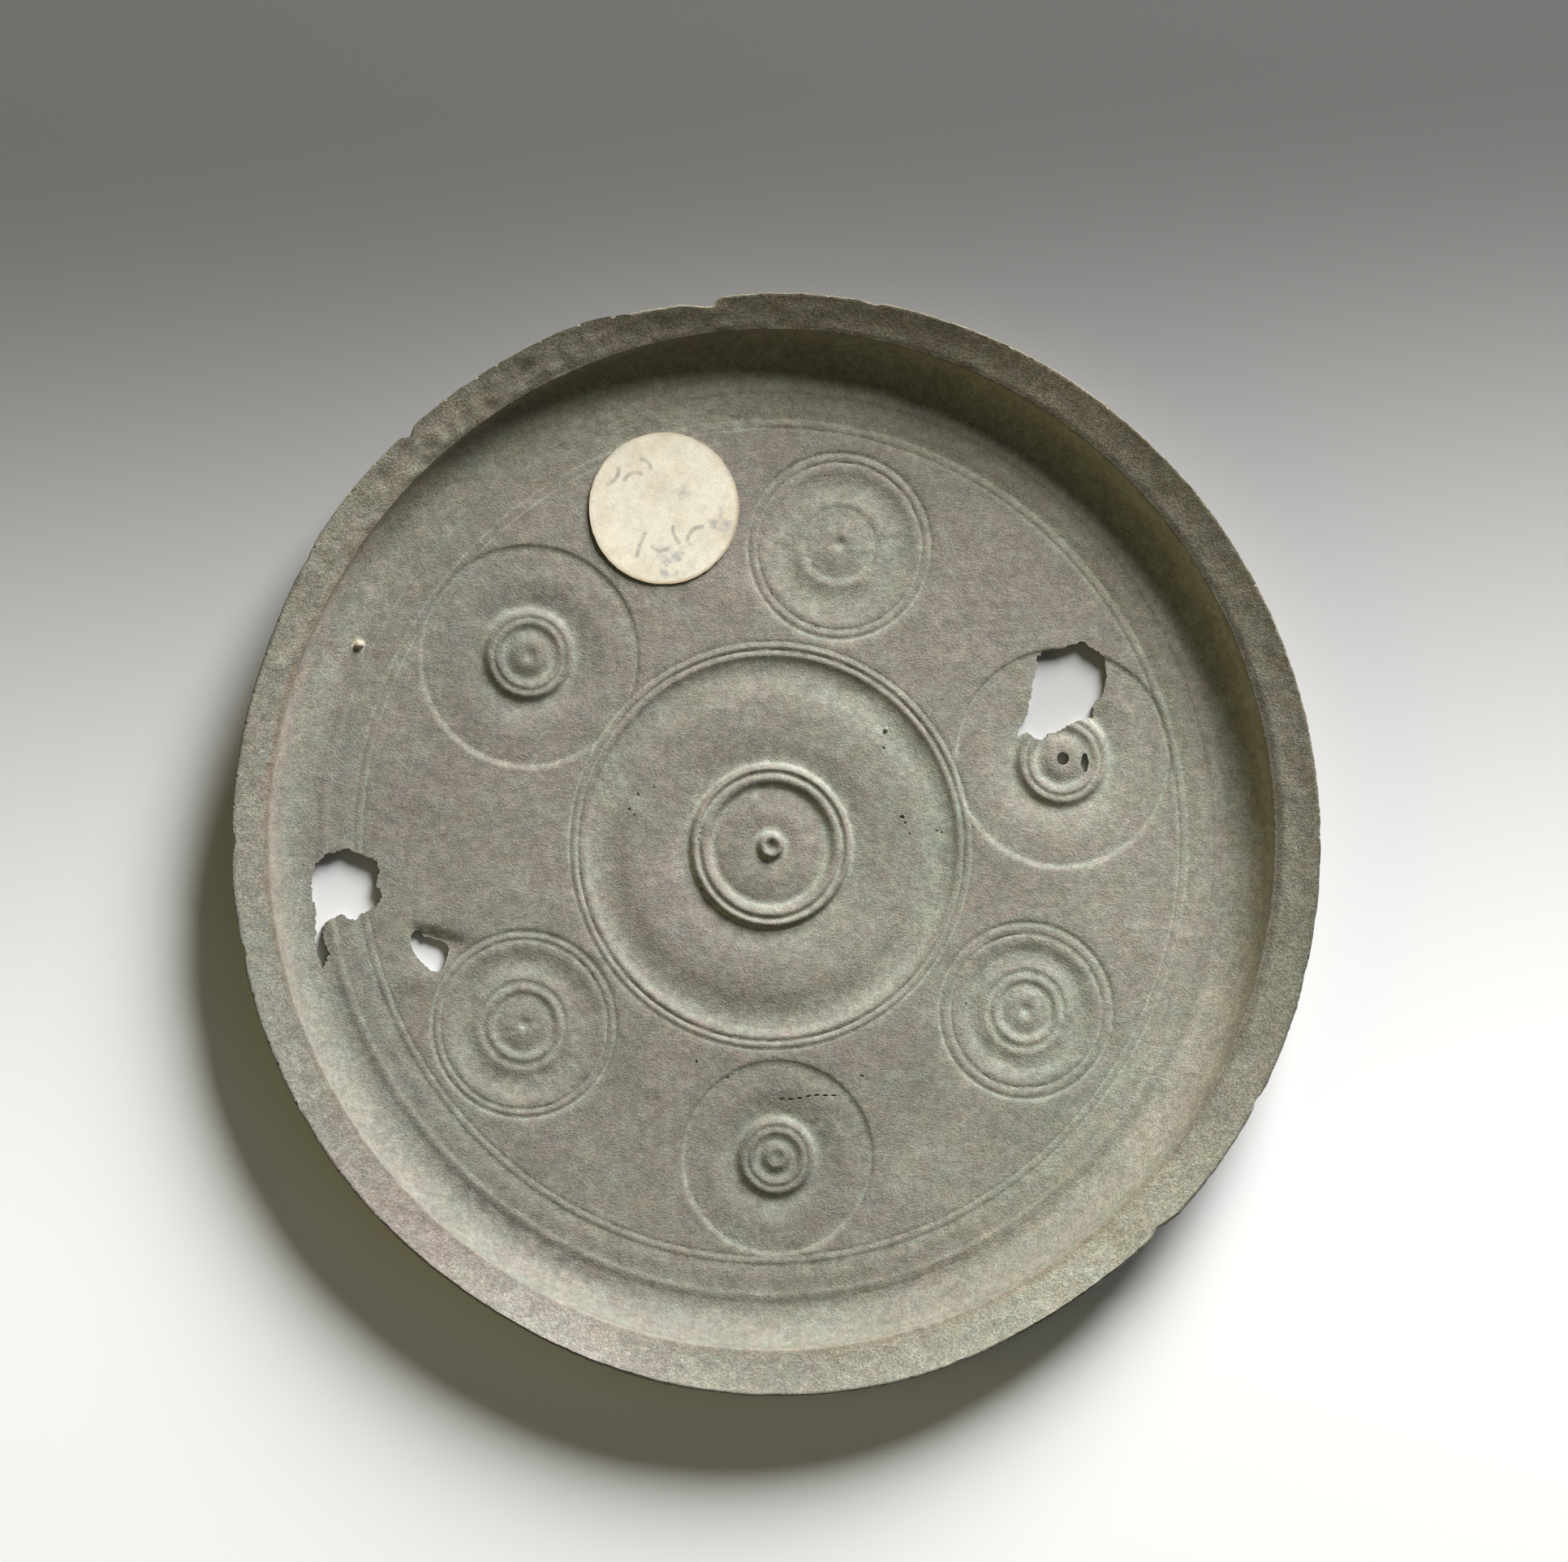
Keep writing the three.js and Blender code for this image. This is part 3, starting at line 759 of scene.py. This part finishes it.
def shades(x, y, z, radius):
    """How pale, red and blue the back is: the patina by broad areas, and by angle on the channel,
    cove and rim, where part is painted shade and painted bounce light.
    """
    angle = np.degrees(np.arctan2(y, x)) % 360

    def swells(*given):
        return around(angle, *given)

    tone, hue = np.ones_like(x), np.zeros_like(x)
    for cx, cy, reach, paler, redder in AREAS:
        share = spot(x, y, cx, cy, reach)
        tone += paler * share
        hue += redder * share

    channel = hump(radius, 55, 3.5)
    # Round 72 degrees the channel is painted darker: painted shadow that carries the rim's cast
    # shadow further in.
    tone += channel * swells((322, 20, 0.35), (357, 18, 0.2), (72, 18, -0.2), (140, 12, -0.1))
    hue += channel * (swells((200, 18, -0.6), (100, 12, -0.8), (5, 18, -0.5)) - 0.25)
    wet = bump(angle, 236, 13) * hump(radius, 58.4, 1.3)
    tone -= 0.4 * wet * np.clip(noise(x, y, 1.3, 61) + 0.6, 0, 1)

    cove = smooth(radius, 57.5, 59) * (1 - smooth(radius, RIM_INNER - 0.2, RIM_INNER))
    high = smooth(radius, 61, RIM_INNER - 0.3)
    # Round 80 degrees, where the rim's shadow lies, the cove is painted darker: painted shade. Near
    # its top, from about 0 to 90 degrees, it is painted lighter and redder: painted bounce light in
    # that shade.
    cove_tone = swells((335, 22, 0.25), (350, 16, 0.12), (145, 22, 0.2), (180, 18, -0.1))
    cove_tone += swells((300, 14, -0.06), (262, 35, -0.07), (80, 25, -0.12))
    cove_tone += high * swells((40, 50, 0.35), (148, 24, 0.65), (182, 14, 0.1), (320, 28, 0.16))
    tone += cove * cove_tone
    cove_hue = (1 - high) * swells((330, 20, 1.1), (185, 22, -0.8), (245, 45, -0.1))
    hue += cove * (cove_hue + high * swells((60, 60, 0.6), (245, 45, -0.9), (330, 20, 0.5)))

    # The rim, darker in a band beside its inner edge and in a line along its outer one.
    rim = smooth(radius, RIM_INNER - 0.1, RIM_INNER + 0.4) * (z > RIM_FINISH_FROM)
    rim_tone = 1.05 + swells((245, 13, 0.4), (305, 28, 0.48), (82, 38, -0.2), (145, 22, 0.2))
    rim_tone += swells((58, 9, 0.2), (118, 10, -0.15))
    # The band is brown patina. It is darkest at the upper right, where it is also painted shade of a
    # slight hollow behind the rim's inner edge that the shape leaves out.
    reach = RIM_INNER + 0.45 + 0.4 * bump(angle, 5, 30)
    band = smooth(radius, RIM_INNER - 0.15, RIM_INNER) * (1 - smooth(radius, reach, reach + 0.5))
    band *= 0.3 + 0.7 * bump(angle, 40, 65)
    outward = np.hypot(x, y) - OUTER_RADIUS - edge_wear(angle)
    line = smooth(outward, -0.6, -0.15) * smooth(angle, 140, 155)
    smear = bump(angle, 262.5, 2.2) * hump(radius, 66.6, 1.6)
    rim_tone = rim_tone * (1 - 0.5 * band) * (1 - 0.4 * line) + 0.2 * smear
    rim_hue = swells((226, 9, 1.6), (192, 16, -1), (295, 24, -1.7), (70, 35, 1.4), (345, 22, -0.8))
    tone += (rim_tone - tone) * rim
    hue += (rim_hue - 0.1 - 1.2 * smear - hue) * rim

    tone *= 1 + 0.06 * noise(x, y, 3.1, 62) + 0.05 * noise(x, y, 1.3, 63)
    hue += 0.12 * noise(x, y, 4.3, 64)
    # Less blue, so yellower, round the upper right of the floor's edge and rim, and deep in the
    # shaded cove round 108 degrees: partly the patina's own tint, partly painted warm bounce light
    # in the rim's shadow.
    floor_blue = swells((65, 55, -0.09), (295, 35, -0.035), (220, 30, 0.02))
    rim_blue = swells((350, 30, -0.03), (75, 55, -0.12), (200, 15, 0.05), (243, 14, 0.08))
    blue = smooth(radius, 50, 54) * (1 - rim) * floor_blue + rim * rim_blue
    blue -= cove * 0.1 * bump(angle, 108, 16)
    return np.clip(tone, 0.3, 1.8), np.clip(hue, -2, 2), blue


def stains_and_painted_shade(mesh):
    """Where the patina is greener, rustier or paler, and where shade and bounce light are painted
    on, for the finish to read.
    """
    x, y, z = coordinates(mesh)
    angle = np.degrees(np.arctan2(y, x))
    radius = turned_radius(x, y)
    back = z > FLOOR_TOP / 4

    def relief(dx=0, dy=0):
        side = turned_radius(x + dx, y + dy)
        return ornament(x + dx, y + dy) + np.where(side > FIELD_RADIUS, BORDER_CURVE(side), 0)

    apart = 0.45
    sides = [(apart, 0), (-apart, 0), (0, apart), (0, -apart)]
    hollow = (sum(relief(*side) for side in sides) / 4 - relief()) * (radius < 58) * back
    patch = 1.5 * spot(x, y, *ROUGH_PATCH, 1.7, 1.3) * (0.7 + noise(x, y, 0.8, 65))
    low = np.clip(-ornament(x, y) / 0.5 - 0.15, 0, 1) + np.clip(patch, 0, 1.6)
    lip = smooth(radius, RIM_INNER - 0.1, RIM_INNER + 0.15) * (z > RIM_INNER_TOP - 1.6)
    lip = lip * (1 - smooth(radius, RIM_INNER + 0.3, RIM_INNER + 1.4))
    cove = smooth(radius, 56.5, 60) * (1 - smooth(radius, 60.5, 62.5))
    warm = smooth(radius, 60.8, 62.8) * (1 - smooth(radius, RIM_INNER - 0.1, RIM_INNER + 0.3))
    rim = smooth(radius, RIM_INNER - 0.1, RIM_INNER + 0.6) * (z > RIM_FINISH_FROM)
    crumb = np.zeros_like(x)
    for cx, cy, size in CRUMBS:
        height = 0.5 if math.hypot(cx, cy) > 50 else FLOOR_TOP
        crumb = np.maximum(crumb, (np.hypot(x - cx, y - cy) < size * 1.25) * (z > height + 0.2))
    tone, hue, blue = shades(x, y, z, radius)
    values = {
        "hollow": np.clip(hollow / 0.05, -1, 1),
        "low": low * back,
        "lip": lip * (0.04 + around(angle, (172, 32, 0.4), (300, 40, 0.35))),
        "cove": cove * back,
        "warm": 0.6 * warm * back * bump(angle, 165, 40),
        "rim": rim,
        "crust": rim * (0.3 + 0.7 * bump(angle, 128, 32)),
        "crumb": crumb,
        "tone": tone,
        "hue": hue,
        "blue": blue,
    }
    for name, value in values.items():
        point_attribute(mesh, name, value)


# ---- Finishes --------------------------------------------------------
class Finish:
    """A node material built from short calls. A linked input is a socket, a set one a value."""

    def __init__(self, name):
        self.material = bpy.data.materials.new(name)
        self.material.use_nodes = True
        self.tree = self.material.node_tree
        self.tree.nodes.clear()
        self.output = self.add("ShaderNodeOutputMaterial")
        self.shader = self.add("ShaderNodeBsdfPrincipled")
        self.tree.links.new(self.shader.outputs[0], self.output.inputs[0])

    def add(self, kind, inputs=(), **settings):
        node = self.tree.nodes.new(kind)
        for key, value in settings.items():
            setattr(node, key, value)
        for key, value in dict(inputs).items():
            self.put(node, key, value)
        return node

    def put(self, node, key, value):
        if isinstance(value, bpy.types.NodeSocket):
            self.tree.links.new(value, node.inputs[key])
        else:
            node.inputs[key].default_value = value

    def millimetres(self):
        place = self.add("ShaderNodeTexCoord").outputs["Object"]
        return self.add("ShaderNodeVectorMath", {0: place, 3: 1 / MM}, operation="SCALE").outputs[0]

    def noise(self, place, scale, detail=3.0, rough=0.5, output=0):
        inputs = {"Vector": place, "Scale": scale, "Detail": detail, "Roughness": rough}
        return self.add("ShaderNodeTexNoise", inputs).outputs[output]

    def attribute(self, name):
        return self.add("ShaderNodeAttribute", attribute_name=name).outputs["Fac"]

    def math(self, operation, first, second):
        return self.add("ShaderNodeMath", {0: first, 1: second}, operation=operation).outputs[0]

    def times(self, first, second):
        return self.math("MULTIPLY", first, second)

    def spread(self, value, low, high, to_low=0.0, to_high=1.0):
        inputs = {0: value, 1: low, 2: high, 3: to_low, 4: to_high}
        return self.add("ShaderNodeMapRange", inputs, interpolation_type="SMOOTHSTEP").outputs[0]

    def mix(self, share, first, second, blend="MIX"):
        node = self.add("ShaderNodeMix", {0: share}, data_type="RGBA", blend_type=blend)
        for key, value in ((6, first), (7, second)):
            self.put(node, key, value if isinstance(value, bpy.types.NodeSocket) else (*value, 1))
        return node.outputs[2]

    def coats(self, colour, *coats):
        """Colours laid one over another, each given as its share and its colour."""
        for share, coat in coats:
            colour = self.mix(share, colour, coat)
        return colour

    def finish(self, colour, roughness, specular, relief=None, height=0.0):
        self.put(self.shader, "Base Color", colour)
        self.put(self.shader, "Roughness", roughness)
        self.put(self.shader, "Specular IOR Level", specular)
        if relief is not None:
            inputs = {"Height": relief, "Distance": height * MM, "Strength": 1.0}
            self.put(self.shader, "Normal", self.add("ShaderNodeBump", inputs).outputs[0])
        return self.material


def bronze_finish():
    made = Finish("bronze_patina_and_painted_shade")
    spread, times, attribute = made.spread, made.times, made.attribute
    place = made.millimetres()
    broad = made.noise(place, 0.07, 4, 0.55)
    mottle = made.noise(place, 0.95, 5, 0.65)
    middle = made.noise(place, 0.42, 4, 0.6)
    lumps = made.noise(place, 0.5, 4, 0.7)
    grain = made.noise(place, 3.2, 3, 0.6)
    speck = spread(made.noise(place, 4.2, 2, 0.6), 0.56, 0.72)
    sand = made.math("ADD", times(grain, 0.6), times(made.noise(place, 7.5, 2, 0.5), 0.4))

    brown, grey = (0.238, 0.216, 0.176), (0.232, 0.221, 0.175)
    sandy, tan, earth = (0.27, 0.235, 0.19), (0.27, 0.225, 0.175), (0.2, 0.165, 0.11)
    green, rust, cream = (0.335, 0.35, 0.275), (0.27, 0.18, 0.1), (0.62, 0.53, 0.40)
    pale, dark = (0.39, 0.375, 0.315), (0.123, 0.111, 0.075)
    rim = attribute("rim")
    hollow = spread(attribute("hollow"), 0.05, 0.9)
    colour = made.coats(
        brown,
        (spread(broad, 0.38, 0.62), grey),
        (spread(grain, 0.4, 0.62, 0.0, 0.35), sandy),
        (times(hollow, spread(middle, 0.3, 0.6, 0.25, 0.75)), green),
        (times(attribute("low"), spread(middle, 0.3, 0.6, 0.2, 0.5)), green),
        (times(spread(middle, 0.48, 0.72), 0.3), green),
        (times(attribute("cove"), spread(grain, 0.3, 0.7, 0.1, 0.4)), green),
        (times(attribute("warm"), spread(middle, 0.35, 0.6, 0.35, 0.85)), tan),
        (times(rim, spread(grain, 0.35, 0.6, 0.55, 0.15)), dark),
        (times(rim, times(speck, 0.6)), pale),
        (times(speck, 0.35), pale),
        (times(attribute("crust"), spread(lumps, 0.44, 0.64, 0, 0.55)), earth),
        (times(attribute("lip"), spread(middle, 0.25, 0.6, 0.5, 1.0)), rust),
        (attribute("crumb"), cream),
    )
    shade = times(spread(sand, 0.25, 0.75, 0.74, 1.26), spread(mottle, 0.3, 0.7, 0.82, 1.18))
    # The tone, hue and blue attributes carry the patina's colour, and also painted shade and painted
    # bounce light round the rim's shadow.
    shade = times(shade, attribute("tone"))
    hue = attribute("hue")
    speckle = made.noise(place, 0.32, 4.0, 0.92, "Color")
    channel = made.add("ShaderNodeSeparateColor", {0: speckle}).outputs
    red = times(spread(channel[0], 0.3, 0.7, 0.925, 1.075), spread(hue, -2, 2, 0.93, 1.06))
    blue = times(spread(channel[1], 0.3, 0.7, 0.935, 1.065), spread(hue, -2, 2, 0.99, 1.05))
    blue = times(blue, made.math("ADD", attribute("blue"), 1.0))
    tint = {0: times(red, shade), 1: shade, 2: times(blue, shade)}
    tint = made.add("ShaderNodeCombineColor", tint).outputs[0]
    colour = made.mix(1.0, colour, tint, "MULTIPLY")
    relief = made.math("ADD", sand, times(middle, 0.6))
    return made.finish(colour, spread(grain, 0.3, 0.7, 0.62, 0.85), 0.35, relief, 0.16)


def card_finish():
    made = Finish("aged_card")
    spread, times, attribute = made.spread, made.times, made.attribute
    place = made.millimetres()
    fibre = made.noise(place, 3.5, 4, 0.7)
    cloud = made.noise(place, 0.25, 3, 0.5)
    cream, tan, straw = (0.80, 0.745, 0.61), (0.74, 0.66, 0.50), (0.56, 0.49, 0.36)
    brown, grey, graphite = (0.4, 0.29, 0.16), (0.36, 0.37, 0.36), (0.2, 0.2, 0.19)
    colour = made.coats(
        cream,
        (spread(cloud, 0.42, 0.7), tan),
        (spread(fibre, 0.42, 0.62, 0.0, 0.3), straw),
        (times(attribute("edge"), 0.8), brown),
        (times(attribute("smudge"), 0.75), grey),
        (times(attribute("pencil"), 0.6), graphite),
    )
    return made.finish(colour, spread(fibre, 0.3, 0.7, 0.8, 0.95), 0.2, fibre, 0.03)


# ---- The sticker -----------------------------------------------------
STICKER_CENTRE = np.array([-13.5, 42.05])
STICKER_RADIUS = 9.5
STICKER_THICKNESS = 0.2
STICKER_BED = 0.11  # its glued side over the floor, clear of the uneven bronze
STICKER_LIFT = 0.12  # of its loose edge

# Two rows of plain pencil strokes: start, end, and how far the middle bows to the left.
STROKES = [
    [[-7.1, 3.0], [-5.7, 5.0], -0.4], [[-5.0, 3.5], [-2.9, 4.3], 0.5],
    [[-2.9, 6.1], [-1.7, 5.1], 0.3], [[-3.4, -6.0], [-2.4, -3.2], 0.15],
    [[-1.5, -4.8], [0.6, -5.0], -0.4], [[1.2, -2.3], [1.9, -4.3], -0.2],
    [[3.0, -3.9], [4.9, -2.3], 0.5],
]
STROKE_WIDTH = 0.27


def segment_distance(x, y, start, end):
    run = end - start
    t = np.clip(((x - start[0]) * run[0] + (y - start[1]) * run[1]) / (run @ run), 0, 1)
    return np.hypot(x - start[0] - t * run[0], y - start[1] - t * run[1])


def stroke_points(start, end, bow):
    share = np.linspace(0, 1, 12)[:, None]
    start, end = np.array(start), np.array(end)
    run = end - start
    across = np.array([-run[1], run[0]]) / np.hypot(*run)
    return start + share * run + 4 * bow * share * (1 - share) * across


def build_sticker():
    steps, rings = 384, 74
    sheet = Sheet()

    def height(x, y, over):
        lifted = STICKER_LIFT * smooth(-x - 0.25 * y, 4.5, 10.5)
        waves = 0.04 * noise(x + 40, y, 4, 51)
        return FLOOR_TOP + STICKER_BED + lifted + waves + over

    last = {}
    for over in (STICKER_THICKNESS, 0.0):
        middle = sheet.add(np.array([[0, 0, height(0.0, 0.0, over)]]))[0]
        ring = None
        for k in range(1, rings + 1):
            radius = STICKER_RADIUS * k / rings
            count = steps if k > 20 else steps // 2 if k > 8 else steps // 4
            flat = circle(radius, count)
            wander = 0.004 * noise(*flat.T, 2.4, 52) + 0.003 * noise(*flat.T, 0.5, 56)
            flat = flat * (1 + wander * smooth(k, rings - 12, rings))[:, None]
            now = sheet.add(raised(flat, height(*flat.T, over)))
            first = len(sheet.faces)
            if ring is None:
                sheet.fan(middle, now, outwards=True)
            else:
                sheet.band(ring, now)
            if over == 0:
                sheet.faces[first:] = [face[::-1] for face in sheet.faces[first:]]
            ring = now
        last[over] = ring
    sheet.band(last[STICKER_THICKNESS], last[0.0])
    points = np.vstack(sheet.points)
    x, y, z = points.T
    piece = mesh_object("sticker_card", points + [*STICKER_CENTRE, 0], sheet.faces)
    away = np.full_like(x, 9)
    for start, end, bow in STROKES:
        line = stroke_points(start, end, bow)
        for a, b in zip(line, line[1:]):
            away = np.minimum(away, segment_distance(x, y, a, b))
    pencil = 1 - smooth(away, STROKE_WIDTH * 0.4, STROKE_WIDTH * 1.4)
    pressed = 0.55 + 0.45 * np.clip(noise(x, y, 0.5, 53) + 0.4, 0, 1)
    top = z > height(x, y, STICKER_THICKNESS * 0.5)
    point_attribute(piece.data, "pencil", pencil * pressed * top)
    smear = 0.35 + 0.9 * spot(x, y, 2.5, 2, 0.9, 0.7)
    for smudge in [(7, -1.7, 1.3, 1.2), (0.9, -7.2, 1.7, 1.5), (2, -5.2, 1.6, 0.9)]:
        smear += 1.9 * spot(x, y, *smudge)
    patchy = smooth(0.6 * noise(x, y, 0.9, 54) + 0.55 * noise(x, y, 0.4, 55), -0.6, 1.2)
    point_attribute(piece.data, "smudge", np.clip(smear * patchy, 0, 1) * top)
    rim = smooth(np.hypot(x, y), STICKER_RADIUS - 0.5, STICKER_RADIUS - 0.05)
    point_attribute(piece.data, "edge", rim * (0.35 + 0.65 * smooth(0.6 * x - y, -3, 9)))
    piece.data.shade_smooth()
    piece.data.set_sharp_from_angle(angle=SHARP_ANGLE)
    return piece


# ---- The pieces ------------------------------------------------------
mirror = build_mirror()
stains_and_painted_shade(mirror.data)
mirror.data.materials.append(bronze_finish())
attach(mirror, "root")
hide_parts("bronze_mirror")

sticker = build_sticker()
sticker.data.materials.append(card_finish())
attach(sticker, "root")
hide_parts("paper_sticker")


# ---- Studio ----------------------------------------------------------
def make_floor():
    """A pale sheet of paper, painted whiter towards the viewer and greyer at the far end and a
    little to the left: painted shade of light falling off across it.
    """
    half, under = 1500, -0.05
    corners = [(-half, -half), (half, -half), (half, half), (-half, half)]
    floor = mesh_object("studio_floor", [(*corner, under) for corner in corners], [[0, 1, 2, 3]])
    made = Finish("studio_paper_painted_falloff")
    place = made.millimetres()
    apart = made.add("ShaderNodeSeparateXYZ", {0: place}).outputs
    along = made.math("SUBTRACT", apart[1], made.times(apart[0], 0.06))
    # Painted shade: the paper darkens from near white at the near end to dark grey at the far end,
    # and a little to the left.
    colour = made.mix(made.spread(along, -58.0, 95.0), (0.97, 0.97, 0.96), (0.13, 0.13, 0.127))
    floor.data.materials.append(made.finish(colour, 0.95, 0.1))
    return floor


def make_light(name, azimuth, elevation, distance, size, power, colour=(1, 1, 1)):
    """A round lamp that faces the mirror's middle."""
    lamp = bpy.data.lights.new(name, "AREA")
    lamp.shape = "DISK"
    lamp.size = size
    lamp.energy = power
    lamp.color = colour
    light = bpy.data.objects.new(name, lamp)
    bpy.context.scene.collection.objects.link(light)
    lift = math.radians(elevation)
    light.location = polar(azimuth, math.cos(lift), math.sin(lift)) * distance
    light.rotation_euler = (-light.location).to_track_quat("-Z", "Y").to_euler()


def make_world(strength):
    world = bpy.data.worlds.new("studio")
    world.use_nodes = True
    background = world.node_tree.nodes["Background"]
    background.inputs[0].default_value = (1, 1, 1, 1)
    background.inputs[1].default_value = strength
    bpy.context.scene.world = world


VIEW_TILT = math.radians(9.6)  # the viewer stands a little to the left of the mirror's axis
VIEW_DISTANCE = 4.0  # metres
VIEW_SHIFT = (0.65, 7.94)  # of the picture's middle, right of and above the rim's centre
PICTURE_WIDTH = 196.003  # what the picture's width spans at the rim, in millimetres


def make_camera():
    towards = Vector((-math.sin(VIEW_TILT), 0, math.cos(VIEW_TILT)))
    right = Vector((math.cos(VIEW_TILT), 0, math.sin(VIEW_TILT)))
    target = (right * VIEW_SHIFT[0] + Vector((0, VIEW_SHIFT[1], RIM_TOP))) * MM
    lens = bpy.data.cameras.new("view")
    lens.sensor_width = 36
    lens.lens = lens.sensor_width * VIEW_DISTANCE / (PICTURE_WIDTH * MM)
    lens.clip_end = 20
    camera = bpy.data.objects.new("view", lens)
    bpy.context.scene.collection.objects.link(camera)
    turn = Matrix((right, Vector((0, 1, 0)), towards)).transposed().to_quaternion()
    camera.matrix_world = Matrix.LocRotScale(target + towards * VIEW_DISTANCE, turn, None)
    bpy.context.scene.camera = camera


make_floor()
make_light("key", 65.5, 23.7, distance=1.4, size=0.8, power=53)
make_light("fill", 0, 75, distance=1.6, size=1.2, power=0.6)
make_light("bounce", 197, 18, distance=1.2, size=0.8, power=2.7, colour=(1, 0.92, 0.42))
make_world(0.032)
make_camera()
bpy.context.scene.view_settings.view_transform = "Standard"
